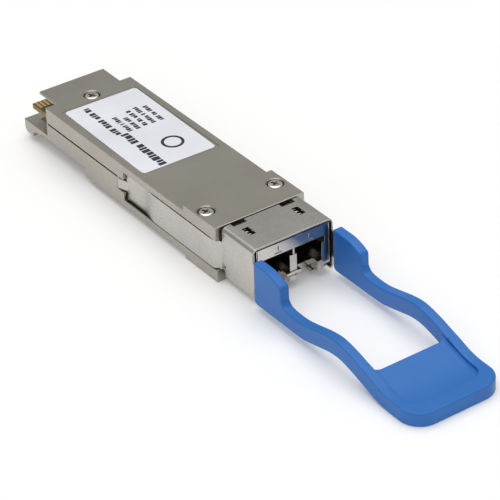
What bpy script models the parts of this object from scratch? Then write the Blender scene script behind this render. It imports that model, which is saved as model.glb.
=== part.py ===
"""Pluggable optical transceiver module with a duplex LC port and a blue pull tab.

Every dimension below is in millimetres and MM turns it into Blender's metres. Lengths along Y are
counted rearwards from the housing's front face, where the port nose starts. The model's origin is the
middle of the object's underside: +X is right, +Y is the card-edge end, +Z is the labelled side.
"""
import math

import bmesh
import bpy
from mathutils import Matrix, Vector

MM = 0.001

# Driving dimensions: housing
HALF_WIDTH = 18.35 / 2
HOUSING_REAR = 53.85
TONGUE_REAR = 59.6
TONGUE_HALF_WIDTH = 6.92
TONGUE_THICKNESS = 0.55
SHELF_REAR = 62.0
TOP = 9.64
RAISED_TOP = 10.74
RAISED_LENGTH = 9.73
FOOT_LENGTH = 9.62
BELLY = 1.1
STERN = 3.0
STERN_START = 41.2
SHELF_TOP = 3.8
SEAM = 6.45
SEAM_GAP = 0.06
WALL = 1.0
CAVITY_HALF_WIDTH = 7.25
REAR_CAVITY_START = 30.5
REAR_CAVITY_HALF_WIDTH = 8.0

# Driving dimensions: latch slider, a folded sheet, and the recesses that it runs in
SHEET = 0.35
ARM_OUTER = 9.13
ARM_BOTTOM = 2.45
ARM_TOP = 8.0
ARM_REAR = 27.9
TIP_OUTER = 8.55
SIDE_OUTER = 8.2
FLANGE_BOTTOM = 0.9
FLANGE_FRONT = -8.3
FLANGE_EDGE = 4.3
RUN_CLEARANCE = 0.2
RECESS_REAR = 28.4

# Driving dimensions: nose and its two ports
NOSE_FRONT = -9.4
NOSE_TOP = 10.7
BLOCK_HALF_WIDTH = 7.25
BLOCK_REAR = 2.4
PORT_PITCH = 6.25
PORT_FLOOR = 3.4
PORT_CEILING = 8.0
PORT_DEPTH_END = 0.5
LATCH_CATCH = -6.8
FIBRE_HEIGHT = 5.7

# Driving dimensions: pull tab
TAB_REAR = -10.93
TAB_FRONT = -53.0
TAB_HALF_WIDTH = 9.05
TAB_INNER = 7.2
EAR_TOP = 9.4

# Driving dimensions: card and screws
CARD_BOTTOM = 6.3
CARD_TOP = 7.3
CARD_FRONT = 26.5
CARD_REAR = 60.25
CARD_HALF_WIDTH = 8.2
SCREW_PLACES = {
    "screw_front_left": (-7.13, 5.55, RAISED_TOP),
    "screw_front_right": (7.13, 5.55, RAISED_TOP),
    "screw_rear": (0.0, 52.6, TOP),
}

# The object reaches from the tab's front edge to the shelf's rear edge, and the origin is midway.
FRONT_FACE_Y = -(TAB_FRONT + SHELF_REAR) / 2
REACH = 80.0

YZ = Matrix(((0, 0, 1), (1, 0, 0), (0, 1, 0))).to_4x4()
XZ = Matrix(((1, 0, 0), (0, 0, -1), (0, 1, 0))).to_4x4()
XY = Matrix.Identity(4)


# ---------------------------------------------------------------- scene, materials and shared tools
def clear_scene():
    for old in list(bpy.data.objects):
        bpy.data.objects.remove(old, do_unlink=True)


def make_collection(name):
    collection = bpy.data.collections.new(name)
    bpy.context.scene.collection.children.link(collection)
    return collection


def make_material(name, colour, roughness, metallic):
    material = bpy.data.materials.new(name)
    material.use_nodes = True
    shader = material.node_tree.nodes["Principled BSDF"]
    shader.inputs["Base Color"].default_value = (*colour, 1.0)
    shader.inputs["Roughness"].default_value = roughness
    shader.inputs["Metallic"].default_value = metallic
    material.diffuse_color = (*colour, 1.0)
    return material


clear_scene()
PARTS = make_collection("optical_transceiver_module")
CUTTERS = make_collection("cutters")
HOUSING_FRAME = bpy.data.objects.new("housing_frame", None)
HOUSING_FRAME.location.y = FRONT_FACE_Y * MM
PARTS.objects.link(HOUSING_FRAME)
SLIDE_FRAME = bpy.data.objects.new("slide_frame", None)
SLIDE_FRAME.parent = HOUSING_FRAME
PARTS.objects.link(SLIDE_FRAME)

FINISH = {
    "zinc": make_material("satin_nickel_zinc", (0.46, 0.44, 0.41), 0.36, 1.0),
    "sheet": make_material("nickel_sheet_steel", (0.56, 0.55, 0.52), 0.24, 1.0),
    "bright": make_material("bright_nickel_screw", (0.72, 0.70, 0.66), 0.18, 1.0),
    "blue": make_material("blue_tab_plastic", (0.035, 0.16, 0.55), 0.42, 0.0),
    "label": make_material("label_film", (0.76, 0.79, 0.88), 0.45, 0.0),
    "laminate": make_material("green_laminate", (0.04, 0.16, 0.07), 0.45, 0.0),
    "gold_box": make_material("gold_plated_kovar", (0.83, 0.61, 0.28), 0.28, 1.0),
    "steel": make_material("stainless_barrel", (0.60, 0.60, 0.60), 0.25, 1.0),
    "ceramic": make_material("white_zirconia", (0.88, 0.87, 0.83), 0.30, 0.0),
    "amber": make_material("amber_polyimide", (0.62, 0.27, 0.04), 0.35, 0.0),
    "epoxy": make_material("black_epoxy", (0.025, 0.025, 0.028), 0.50, 0.0),
    "gap_pad": make_material("grey_gap_pad", (0.33, 0.37, 0.42), 0.80, 0.0),
    "gasket": make_material("silver_elastomer", (0.40, 0.39, 0.37), 0.65, 0.2),
    "clip": make_material("black_clamp_plastic", (0.05, 0.05, 0.055), 0.50, 0.0),
    "spring": make_material("spring_steel", (0.62, 0.61, 0.58), 0.22, 1.0),
}


def add_object(name, mesh, matrix=XY, parent=HOUSING_FRAME):
    obj = bpy.data.objects.new(name, mesh)
    PARTS.objects.link(obj)
    obj.parent = parent
    obj.matrix_local = matrix
    return obj


def finish_part(obj, finish, smooth_angle=None):
    obj.data.materials.clear()
    obj.data.materials.append(FINISH[finish])
    if smooth_angle is not None:
        obj.data.shade_smooth()
        obj.data.set_sharp_from_angle(angle=math.radians(smooth_angle))
    return obj


def move_to_slider(obj):
    """Hand a piece to the sliding latch, whose empty sits on the slide's axis."""
    obj.parent = SLIDE_FRAME
    return obj


def as_cutter(obj):
    PARTS.objects.unlink(obj)
    CUTTERS.objects.link(obj)
    obj.hide_render = True
    obj.display_type = "WIRE"
    return obj


def boolean(target, tool, operation):
    as_cutter(tool)
    modifier = target.modifiers.new(f"{operation.lower()} {tool.name}", "BOOLEAN")
    modifier.operation = operation
    modifier.solver = "EXACT"
    modifier.object = tool
    return target


def cut(target, *tools):
    for tool in tools:
        boolean(target, tool, "DIFFERENCE")
    return target


def fuse(target, *tools):
    for tool in tools:
        boolean(target, tool, "UNION")
    return target


def block(name, x, y, z):
    """A box between two limits on each axis, with its object at the box's middle."""
    low = Vector((x[0], y[0], z[0])) * MM
    high = Vector((x[1], y[1], z[1])) * MM
    mesh = bpy.data.meshes.new(name)
    shape = bmesh.new()
    bmesh.ops.create_cube(shape, size=1.0, matrix=Matrix.Diagonal((*(high - low), 1.0)))
    shape.to_mesh(mesh)
    shape.free()
    return add_object(name, mesh, Matrix.Translation((low + high) / 2))


def side_pair(name, x, y, z):
    """The same box on both sides: its name, mirrored to -X and then at +X."""
    left = block(f"{name}_left", (-x[1], -x[0]), y, z)
    return left, block(f"{name}_right", x, y, z)


def cylinder(name, radius, centre, axis, length, segments=28):
    """A cylinder centred on a point, along the Y or the Z axis."""
    mesh = bpy.data.meshes.new(name)
    shape = bmesh.new()
    bmesh.ops.create_cone(
        shape, cap_ends=True, segments=segments, radius1=radius * MM, radius2=radius * MM,
        depth=length * MM,
    )
    shape.to_mesh(mesh)
    shape.free()
    turn = XZ if axis == "Y" else XY
    return add_object(name, mesh, Matrix.Translation(Vector(centre) * MM) @ turn)


def extrusion(name, outline, plane, low, high):
    """A closed flat outline in the YZ, XZ or XY plane, drawn out between two depths along its normal."""
    curve = bpy.data.curves.new(name, "CURVE")
    curve.dimensions = "2D"
    curve.fill_mode = "BOTH"
    curve.extrude = (high - low) / 2 * MM
    spline = curve.splines.new("POLY")
    spline.points.add(len(outline) - 1)
    for point, (u, v) in zip(spline.points, outline):
        point.co = (u * MM, v * MM, 0.0, 1.0)
    spline.use_cyclic_u = True
    flat = bpy.data.objects.new(f"{name}_outline", curve)
    bpy.context.scene.collection.objects.link(flat)
    depth = (low + high) / 2 * (-1 if plane is XZ else 1)
    placed = plane @ Matrix.Translation((0.0, 0.0, depth * MM))
    return add_object(name, mesh_from_curve(flat, name), placed)


def mesh_from_curve(source, name):
    """Turn a curve object into a welded mesh and remove the curve."""
    graph = bpy.context.evaluated_depsgraph_get()
    mesh = bpy.data.meshes.new_from_object(source.evaluated_get(graph))
    mesh.name = name
    shape = bmesh.new()
    shape.from_mesh(mesh)
    bmesh.ops.remove_doubles(shape, verts=shape.verts, dist=1e-7)
    bmesh.ops.recalc_face_normals(shape, faces=shape.faces)
    shape.to_mesh(mesh)
    shape.free()
    bpy.data.objects.remove(source, do_unlink=True)
    return mesh


def turned(name, profile, base, axis, steps=32):
    """A turned piece: (radius, height) points from its top down the outer side, closed for a ring."""
    is_ring = all(radius > 0 for radius, _ in profile)
    mesh = bpy.data.meshes.new(name)
    points = [(radius * MM, 0.0, height * MM) for radius, height in profile]
    edges = [(i, i + 1) for i in range(len(points) - 1)]
    if is_ring:
        edges.append((len(points) - 1, 0))
    mesh.from_pydata(points, edges, [])
    turn = XZ if axis == "-Y" else XY
    obj = add_object(name, mesh, Matrix.Translation(Vector(base) * MM) @ turn)
    screw = obj.modifiers.new("turn", "SCREW")
    screw.axis = "Z"
    screw.steps = steps
    screw.render_steps = steps
    screw.use_merge_vertices = True
    screw.merge_threshold = 1e-6
    return obj


def arc(centre_u, centre_v, radius, start_deg, end_deg, steps=6):
    """Points on a circle from one angle to another."""
    angles = [math.radians(start_deg + (end_deg - start_deg) * i / steps) for i in range(steps + 1)]
    return [(centre_u + radius * math.cos(a), centre_v + radius * math.sin(a)) for a in angles]


def rounded_rectangle(u, v, radius, steps=6):
    """A rectangle between two limits on each axis, with four round corners."""
    (u0, u1), (v0, v1) = u, v
    return (
        arc(u1 - radius, v1 - radius, radius, 0, 90, steps)
        + arc(u0 + radius, v1 - radius, radius, 90, 180, steps)
        + arc(u0 + radius, v0 + radius, radius, 180, 270, steps)
        + arc(u1 - radius, v0 + radius, radius, 270, 360, steps)
    )


def smooth_line(points, steps=4):
    """A Catmull-Rom line through the points, for a profile that bends smoothly."""
    padded = [points[0], *points, points[-1]]
    line = []
    for p0, p1, p2, p3 in zip(padded, padded[1:], padded[2:], padded[3:]):
        for i in range(steps):
            t = i / steps
            point = []
            for a, b, c, d in zip(p0, p1, p2, p3):
                square = (2 * a - 5 * b + 4 * c - d) * t**2
                cube = (3 * b - a - 3 * c + d) * t**3
                point.append(0.5 * (2 * b + (c - a) * t + square + cube))
            line.append(tuple(point))
    line.append(points[-1])
    return line


def ribbon(points, thickness):
    """The outline of a strip of even thickness whose outer face follows the points."""
    inner = []
    for i, point in enumerate(points):
        before = Vector(points[max(i - 1, 0)])
        after = Vector(points[min(i + 1, len(points) - 1)])
        along = (after - before).normalized()
        inner.append((point[0] + along.y * thickness, point[1] - along.x * thickness))
    return points + inner[::-1]


def mirrored(outline):
    return [(-u, v) for u, v in outline][::-1]


# ---------------------------------------------------------------- housing shells
def screw_column(screw_name, size, z):
    """A square column of metal round a screw's place."""
    x, y, _ = SCREW_PLACES[screw_name]
    half = size / 2
    return block(f"{screw_name}_column", (x - half, x + half), (y - half, y + half), z)


def screw_hole(screw_name, suffix, radius, z):
    x, y, _ = SCREW_PLACES[screw_name]
    middle = (x, y, (z[0] + z[1]) / 2)
    return cylinder(f"{screw_name}_{suffix}", radius, middle, "Z", z[1] - z[0], segments=24)


def arm_recesses(prefix, low, high):
    """Cutters for the slider's arms: an open corner, a shallow run and a deeper bay for the tips."""
    corner = BLOCK_HALF_WIDTH + 0.15
    run = ARM_OUTER - SHEET - RUN_CLEARANCE
    bay = TIP_OUTER - SHEET - RUN_CLEARANCE
    outside = HALF_WIDTH + 1
    corner_rear, bay_start = 1.7, 17.6
    outline = [
        (outside, -1), (outside, RECESS_REAR), (bay, RECESS_REAR), (bay, bay_start), (run, bay_start),
        (run, corner_rear), (corner, corner_rear), (corner, -1),
    ]
    return (
        extrusion(f"{prefix}_arm_recess_right", outline, XY, low, high),
        extrusion(f"{prefix}_arm_recess_left", mirrored(outline), XY, low, high),
    )


def room_widths():
    """Side limits of the rooms that both shells share: front, rear, for the card and for the nose."""
    card_half = CARD_HALF_WIDTH + 0.15
    block_half = BLOCK_HALF_WIDTH + 0.15
    return (
        (-CAVITY_HALF_WIDTH, CAVITY_HALF_WIDTH), (-REAR_CAVITY_HALF_WIDTH, REAR_CAVITY_HALF_WIDTH),
        (-card_half, card_half), (-block_half, block_half),
    )


def bottom_shell():
    heel_bottom = 1.15
    profile = [
        (0, 0), (FOOT_LENGTH, 0), (FOOT_LENGTH, BELLY), (STERN_START - 0.1, BELLY),
        (STERN_START + 0.1, STERN),
        *smooth_line([(55.6, STERN), (56.8, 2.85), (57.9, 2.05), (58.8, 1.3), (59.8, heel_bottom)], 2),
        *arc(60.8, heel_bottom + 1.2, 1.2, 270, 360, 4),
        (SHELF_REAR, SHELF_TOP), (HOUSING_REAR, SHELF_TOP), (HOUSING_REAR, SEAM), (0, SEAM),
    ]
    shell = extrusion("bottom_shell", profile, YZ, -HALF_WIDTH, HALF_WIDTH)
    floor = BELLY + WALL
    ledge = CARD_BOTTOM - 0.1
    narrow, wide, card_room, block_room = room_widths()
    shelf_room = (-TONGUE_HALF_WIDTH, TONGUE_HALF_WIDTH)
    cut(
        shell,
        block("front_well", narrow, (3.6, REAR_CAVITY_START + 1), (floor, 12)),
        block("rear_well", wide, (REAR_CAVITY_START, 40.0), (floor, 12)),
        block("stern_well", wide, (39.0, 52.8), (STERN + WALL, 12)),
        block("card_rebate", card_room, (REAR_CAVITY_START, REACH), (ledge, 12)),
        block("nose_seat", block_room, (-1, 3.7), (1.35, 12)),
        block("shelf_window", shelf_room, (HOUSING_REAR + 0.6, 60.0), (-1, SHELF_TOP + 1)),
    )
    for side in (-1, 1):
        outside = side * (HALF_WIDTH + 0.2)
        ramp = [(side * 8.45, RECESS_REAR - 0.1), (outside, 30.6), (outside, 28.0)]
        if side < 0:
            ramp.reverse()
        cut(shell, extrusion(f"tip_ramp_{side}", ramp, XY, 3.95, SEAM + 1))
    for name in SCREW_PLACES:
        bottom = STERN + 0.2 if name == "screw_rear" else BELLY + 0.2
        top = ledge - 0.05 if name == "screw_rear" else SEAM - 0.05
        fuse(shell, screw_column(name, 2.3, (bottom, top)))
    cut(
        shell,
        *arm_recesses("lower", ARM_BOTTOM - 0.12, SEAM + 1),
        *side_pair("gasket_groove", (7.4, 7.75), (8.0, 29.6), (6.05, SEAM + 1)),
    )
    for name in SCREW_PLACES:
        lowest = 3.6 if name == "screw_rear" else 2.2
        cut(shell, screw_hole(name, "thread", 0.86, (lowest, 12)))
    return finish_part(shell, "zinc")


def top_shell():
    low = SEAM + SEAM_GAP
    plan = [
        (-HALF_WIDTH, 0), (HALF_WIDTH, 0), (HALF_WIDTH, HOUSING_REAR),
        (TONGUE_HALF_WIDTH, HOUSING_REAR), (TONGUE_HALF_WIDTH, TONGUE_REAR),
        (-TONGUE_HALF_WIDTH, TONGUE_REAR), (-TONGUE_HALF_WIDTH, HOUSING_REAR),
        (-HALF_WIDTH, HOUSING_REAR),
    ]
    tongue_bottom = TOP - TONGUE_THICKNESS
    side = [
        (-1, low), (HOUSING_REAR, low), (HOUSING_REAR, tongue_bottom), (REACH, tongue_bottom),
        (REACH, TOP), (RAISED_LENGTH, TOP), (RAISED_LENGTH - 0.25, RAISED_TOP), (-1, RAISED_TOP),
    ]
    shell = extrusion("top_shell", plan, XY, low, RAISED_TOP)
    boolean(shell, extrusion("top_shell_side", side, YZ, -HALF_WIDTH - 1, HALF_WIDTH + 1), "INTERSECT")
    roof = TOP - WALL
    raised_roof = RAISED_TOP - WALL
    narrow, wide, card_room, block_room = room_widths()
    cut(
        shell,
        block("roof_front", narrow, (3.6, 8.7), (-1, raised_roof)),
        block("roof_middle", narrow, (8.0, REAR_CAVITY_START + 1), (-1, roof)),
        block("roof_rear", wide, (REAR_CAVITY_START, 52.8), (-1, roof)),
        block("card_slot", card_room, (REAR_CAVITY_START, REACH), (-1, CARD_TOP + 0.1)),
        block("nose_mouth", block_room, (-1, 3.7), (-1, raised_roof)),
        block("label_recess", (-7.85, 7.85), (23.0, 50.6), (TOP - 0.15, 12)),
    )
    for name, (_, _, surface) in SCREW_PLACES.items():
        column_foot = CARD_TOP + 0.15 if name == "screw_rear" else low + 0.05
        fuse(shell, screw_column(name, 2.4, (column_foot, surface - 0.5)))
    cut(shell, *arm_recesses("upper", 0, ARM_TOP + 0.12))
    for name, (_, _, surface) in SCREW_PLACES.items():
        cut(
            shell,
            screw_hole(name, "counterbore", 1.5, (surface - 0.93, 12)),
            screw_hole(name, "clearance", 0.95, (-1, 12)),
        )
    return finish_part(shell, "zinc")


# ---------------------------------------------------------------- nose and latch
def port_block():
    """The die-cast nose: two LC ports, spring channels in its roof and a collar inside the housing."""
    roof = NOSE_TOP - SHEET - 0.1
    underside = FLANGE_BOTTOM + SHEET + 0.15
    face = [
        (-5.0, 1.45), (5.0, 1.45), (6.4, 2.4), (BLOCK_HALF_WIDTH, 2.5), (BLOCK_HALF_WIDTH, roof),
        (-BLOCK_HALF_WIDTH, roof), (-BLOCK_HALF_WIDTH, 2.5), (-6.4, 2.4),
    ]
    body = extrusion("port_block", face, XZ, NOSE_FRONT, -0.1)
    across = (-BLOCK_HALF_WIDTH, BLOCK_HALF_WIDTH)
    fuse(body, block("collar", across, (-0.6, BLOCK_REAR), (underside, 9.6)))
    cut(
        body,
        block("flange_room", (-8.5, 8.5), (FLANGE_FRONT - 0.1, 3.0), (0, underside)),
        block("front_arch", (-4.8, 4.8), (NOSE_FRONT - 1, FLANGE_FRONT), (0, 2.95)),
    )
    before = NOSE_FRONT - 1
    for side, place in ((-1, "left"), (1, "right")):
        port = sorted((side * 0.7, side * 5.7))
        shoulder = sorted((side * 0.22, side * 6.3))
        latch = sorted((side * 1.45, side * 4.8))
        gate = sorted((side * 1.1, side * 4.8))
        channel = sorted((side * 4.29, side * 5.89))
        centre = side * PORT_PITCH / 2
        cut(
            body,
            block(f"port_{place}", port, (before, PORT_DEPTH_END), (PORT_FLOOR, PORT_CEILING - 0.2)),
            block(f"port_shoulder_{place}", shoulder, (before, -3.5), (6.85, PORT_CEILING)),
            block(f"latch_slot_{place}", latch, (before, -1.0), (2.4, PORT_FLOOR + 0.2)),
            block(f"latch_gate_{place}", gate, (before, LATCH_CATCH), (0, 2.9)),
            block(f"spring_channel_{place}", channel, (-8.0, -0.6), (8.8, 12)),
            cylinder(f"barrel_hole_{place}", 1.5, (centre, 1.5, FIBRE_HEIGHT), "Y", 4.0),
        )
    cut(body, block("post_setback", (-1.0, 1.0), (before, NOSE_FRONT + 0.2), (PORT_FLOOR + 0.05, 6.8)))
    foot = rounded_rectangle((NOSE_FRONT + 0.2, -7.85), (1.15, 3.25), 0.3, 3)
    fuse(body, extrusion("post_foot", foot, YZ, -0.7, 0.7))
    return finish_part(body, "zinc")


def latch_slider():
    """One folded sheet round the nose: top, sides, bottom flanges, two prongs and two long arms."""
    radius = 0.95
    inner = SIDE_OUTER - SHEET
    side_bottom = 2.65
    section = (
        [(SIDE_OUTER, side_bottom)]
        + arc(SIDE_OUTER - radius, NOSE_TOP - radius, radius, 0, 90, 5)
        + arc(radius - SIDE_OUTER, NOSE_TOP - radius, radius, 90, 180, 5)
        + [(-SIDE_OUTER, side_bottom), (-inner, side_bottom)]
        + arc(radius - SIDE_OUTER, NOSE_TOP - radius, radius - SHEET, 180, 90, 5)
        + arc(SIDE_OUTER - radius, NOSE_TOP - radius, radius - SHEET, 90, 0, 5)
        + [(inner, side_bottom)]
    )
    slider = extrusion("latch_slider", section, XZ, NOSE_FRONT + 0.1, -0.4)
    cut(slider, block("plate_rear_trim", (-REACH, REACH), (-0.5, 1), (2.0, 10.2)))
    fuse(
        slider,
        block("plate_rear_lip", (-7.2, 7.2), (-1.0, -0.25), (NOSE_TOP - SHEET, NOSE_TOP)),
        *side_pair("prong", (inner, SIDE_OUTER), (-16.0, NOSE_FRONT + 0.6), (3.2, 8.3)),
    )
    bend = 0.7
    flange_line = [(SIDE_OUTER, side_bottom + 0.4)]
    flange_line += arc(SIDE_OUTER - bend, FLANGE_BOTTOM + bend, bend, 0, -90, 6)
    flange_line.append((FLANGE_EDGE, FLANGE_BOTTOM))
    flange = ribbon(flange_line, SHEET)
    fuse(
        slider,
        extrusion("flange_right", flange, XZ, FLANGE_FRONT, -1.0),
        extrusion("flange_left", mirrored(flange), XZ, FLANGE_FRONT, -1.0),
    )
    arm_line = smooth_line([
        (SIDE_OUTER, -1.4), (SIDE_OUTER, -0.6), (SIDE_OUTER + 0.12, -0.1), (ARM_OUTER - 0.12, 1.0),
        (ARM_OUTER, 1.6),
    ], 3)
    arm_line += smooth_line([
        (ARM_OUTER, 19.8), (ARM_OUTER - 0.05, 20.3), (TIP_OUTER + 0.05, 21.6), (TIP_OUTER, 22.1),
    ], 3)
    arm_line.append((TIP_OUTER, ARM_REAR))
    arm = ribbon(arm_line, -SHEET)
    fuse(
        slider,
        extrusion("arm_right", arm[::-1], XY, ARM_BOTTOM, ARM_TOP),
        extrusion("arm_left", mirrored(arm)[::-1], XY, ARM_BOTTOM, ARM_TOP),
    )
    cut(
        slider,
        *side_pair("spring_window", (4.45, 5.73), (-5.15, -2.7), (9, 12)),
        *side_pair("flap_notch", (3.6, 6.3), (-1.3, 0.5), (9, 12)),
        *side_pair("hook_notch", (inner - 1, SIDE_OUTER + 1), (-1.25, -0.75), (3.0, 3.7)),
        *side_pair("hook_notch_front", (inner - 1, SIDE_OUTER + 1), (-8.5, -8.1), (2.95, 3.4)),
    )
    fuse(slider, *side_pair("spring_flap", (4.45, 5.73), (-1.3 - SHEET, -1.3), (8.95, NOSE_TOP)))
    return move_to_slider(finish_part(slider, "sheet"))


def pull_tab():
    """The moulded tab: two ears, arms that dip, rise and drop to a flat loop, a sunk finger panel."""
    rim_top = 2.6
    upper = smooth_line([
        (TAB_FRONT + 0.35, rim_top), (-49.5, rim_top + 0.03), (-46.7, 2.65), (-44.2, 3.05),
        (-41.7, 3.9), (-39.2, 4.65), (-36.8, 5.4), (-33.1, 6.1), (-29.9, 5.82), (-26.3, 5.0),
        (-23.5, 4.47), (-20.8, 4.4), (-18.9, 4.7), (-18.1, 5.6),
    ])
    ear = smooth_line([
        (-18.05, 7.6), (-17.8, 8.2), (-16.9, 8.65), (-15.6, 9.1), (-14.2, 9.36), (-12.6, EAR_TOP),
    ], 3)
    lower = smooth_line([
        (-12.3, 1.4), (-22.6, 1.4), (-25.0, 1.65), (-28.5, 2.4), (-31.2, 2.95), (-33.8, 3.05), (-36.4, 2.5),
        (-39.0, 1.72), (-41.5, 0.9), (-43.8, 0.27), (-46.0, 0.03), (-48.5, 0.0),
    ])
    profile = (
        upper + ear + [(TAB_REAR - 0.2, EAR_TOP), (TAB_REAR, EAR_TOP - 0.2)]
        + arc(TAB_REAR - 0.9, 2.3, 0.9, 0, -90, 3) + lower + [(TAB_FRONT + 0.35, 0.0), (TAB_FRONT, 0.35)]
        + [(TAB_FRONT, rim_top - 0.35)]
    )
    corner = 4.0
    plan = (
        [(TAB_HALF_WIDTH, 0), (-TAB_HALF_WIDTH, 0)]
        + arc(corner - TAB_HALF_WIDTH, TAB_FRONT + corner, corner, 180, 270, 8)
        + arc(TAB_HALF_WIDTH - corner, TAB_FRONT + corner, corner, 270, 360, 8)
    )
    tab = extrusion("pull_tab", profile, YZ, -TAB_HALF_WIDTH, TAB_HALF_WIDTH)
    boolean(tab, extrusion("tab_plan", plan, XY, -2, 12), "INTERSECT")

    panel_rear = -40.2
    opening = rounded_rectangle((-TAB_INNER, TAB_INNER), (panel_rear, 2.0), 1.0, 5)
    cut(tab, extrusion("finger_opening", opening, XY, -2, 12))

    recess_plan = rounded_rectangle((-TAB_INNER + 0.05, TAB_INNER - 0.05), (-49.6, panel_rear + 3), 2.4, 6)
    panel_top = smooth_line([
        (-52.0, 1.58), (-47.2, 1.58), (-45.0, 2.15), (-42.5, 2.88), (-39.9, 3.45), (-37.0, 3.6),
    ])
    recess_side = panel_top + [(-37.0, 11), (-52.0, 11)]
    recess = extrusion("panel_recess", recess_plan, XY, -2, 12)
    boolean(recess, extrusion("panel_recess_side", recess_side, YZ, -8, 8), "INTERSECT")
    cut(tab, recess)

    hollow_side = smooth_line([(-52.0, 0.5), (-46.6, 0.5), (-44.2, 0.72), (-41.5, 1.5), (-38.0, 2.6)])
    hollow_side += [(-38.0, -3), (-52.0, -3)]
    hollow = extrusion("under_hollow", recess_plan, XY, -2, 12)
    boolean(hollow, extrusion("under_hollow_side", hollow_side, YZ, -8, 8), "INTERSECT")
    cut(tab, hollow)

    pocket = (SIDE_OUTER - SHEET - 0.08, SIDE_OUTER + 0.08)
    cut(tab, *side_pair("prong_pocket", pocket, (-16.1, TAB_REAR + 1), (3.1, 8.4)))
    return move_to_slider(finish_part(tab, "blue", 30))


def return_springs():
    """A coil in each roof channel, between the channel's front wall and the slider's flap."""
    coil_radius, wire_radius = 0.55, 0.13
    turns, points_per_turn = 7, 10
    start, end = -7.8, -1.3 - SHEET - 0.2
    count = turns * points_per_turn
    for side, place in ((-1, "left"), (1, "right")):
        curve = bpy.data.curves.new(f"return_spring_{place}", "CURVE")
        curve.dimensions = "3D"
        curve.bevel_depth = wire_radius * MM
        curve.bevel_resolution = 2
        curve.use_fill_caps = True
        spline = curve.splines.new("POLY")
        spline.points.add(count)
        for i, point in enumerate(spline.points):
            angle = 2 * math.pi * i / points_per_turn
            y = start + (end - start) * i / count
            x = side * 5.09 + coil_radius * math.cos(angle)
            z = 9.6 + coil_radius * math.sin(angle)
            point.co = (x * MM, y * MM, z * MM, 1.0)
        coil = bpy.data.objects.new(f"return_spring_{place}_path", curve)
        bpy.context.scene.collection.objects.link(coil)
        spring = add_object(f"return_spring_{place}", mesh_from_curve(coil, f"return_spring_{place}"))
        finish_part(spring, "spring", 50)


# ---------------------------------------------------------------- screws and label
def screws():
    """Cross-recessed machine screws: a flat round head with a broken edge over a plain shank."""
    head_radius, head_height, shank_radius = 1.36, 0.8, 0.8
    sink = 0.09
    for name, (x, y, surface) in SCREW_PLACES.items():
        length = 4.8 if name == "screw_rear" else 7.4
        profile = [
            (0, head_height), (head_radius - 0.18, head_height), (head_radius, head_height - 0.16),
            (head_radius, 0), (shank_radius, 0), (shank_radius, -length + 0.3),
            (shank_radius - 0.3, -length), (0, -length),
        ]
        screw = turned(name, profile, (x, y, surface - sink - head_height), "Z", 24)
        top = surface - sink
        cut(
            screw,
            block(f"{name}_cross_x", (x - 0.78, x + 0.78), (y - 0.17, y + 0.17), (top - 0.5, top + 1)),
            block(f"{name}_cross_y", (x - 0.17, x + 0.17), (y - 0.78, y + 0.78), (top - 0.5, top + 1)),
        )
        finish_part(screw, "bright")


def label():
    """A thin film laid a little askew in the recess on top."""
    outline = rounded_rectangle((-7.55, 7.55), (-13.25, 13.25), 0.7, 5)
    film = extrusion("label", outline, XY, TOP - 0.13, TOP - 0.04)
    place = Matrix.Translation((-0.06 * MM, 36.8 * MM, film.location.z))
    film.matrix_local = place @ Matrix.Rotation(math.radians(-1.0), 4, "Z")
    return finish_part(film, "label")


# ---------------------------------------------------------------- optics and electronics
def optics(place, side):
    """One optical sub-assembly: its sealed box, its LC barrel, the split sleeve and the fibre stub."""
    centre = side * PORT_PITCH / 2
    mouth = (centre, -4.0, FIBRE_HEIGHT)
    box = block(f"{place}_package", (centre - 2.95, centre + 2.95), (8.25, 23.2), (2.62, 8.0))
    finish_part(box, "gold_box")
    barrel = [
        (0.80, 0), (1.12, 0), (1.22, -0.12), (1.22, -6.65), (2.15, -6.65), (2.15, -7.6), (1.5, -7.6),
        (1.5, -12.2), (0.80, -12.2),
    ]
    finish_part(turned(f"{place}_barrel", barrel, mouth, "-Y", 28), "steel", 30)
    sleeve = [(0.64, -0.2), (0.77, -0.2), (0.77, -4.6), (0.64, -4.6)]
    finish_part(turned(f"{place}_sleeve", sleeve, mouth, "-Y", 28), "ceramic", 30)
    stub = [(0, -3.4), (0.55, -3.4), (0.61, -3.5), (0.61, -12.0), (0, -12.0)]
    finish_part(turned(f"{place}_stub", stub, mouth, "-Y", 28), "ceramic", 30)
    path = smooth_line([(23.3, 5.2), (24.2, 5.3), (25.2, 6.6), (26.2, 7.38), (27.4, 7.48), (29.6, 7.48)], 3)
    flex = extrusion(f"{place}_flex", ribbon(path, 0.13), YZ, centre - 2.2, centre + 2.2)
    finish_part(flex, "amber")


def barrel_clamp():
    """A saddle behind the barrels' flanges that holds both against the nose."""
    clamp = block("barrel_clamp", (-5.9, 5.9), (3.75, 5.0), (2.2, 9.4))
    for side, place in ((-1, "left"), (1, "right")):
        centre = side * PORT_PITCH / 2
        cut(
            clamp,
            cylinder(f"saddle_{place}", 1.62, (centre, 4.4, FIBRE_HEIGHT), "Y", 3.0),
            block(f"saddle_gap_{place}", (centre - 1.62, centre + 1.62), (3.0, 6.0), (0, FIBRE_HEIGHT)),
        )
    return finish_part(clamp, "clip")


def paddle_card():
    """The circuit card: narrow between the arm bays, full width at its plug end."""
    neck = CAVITY_HALF_WIDTH - 0.15
    half = CARD_HALF_WIDTH
    shoulder = REAR_CAVITY_START + 0.15
    card = block("paddle_card", (-half, half), (shoulder, CARD_REAR), (CARD_BOTTOM, CARD_TOP))
    fuse(card, block("card_neck", (-neck, neck), (CARD_FRONT, shoulder + 1), (CARD_BOTTOM, CARD_TOP)))
    cut(card, screw_hole("screw_rear", "card_hole", 1.0, (5, 9)))
    return finish_part(card, "laminate")


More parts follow.
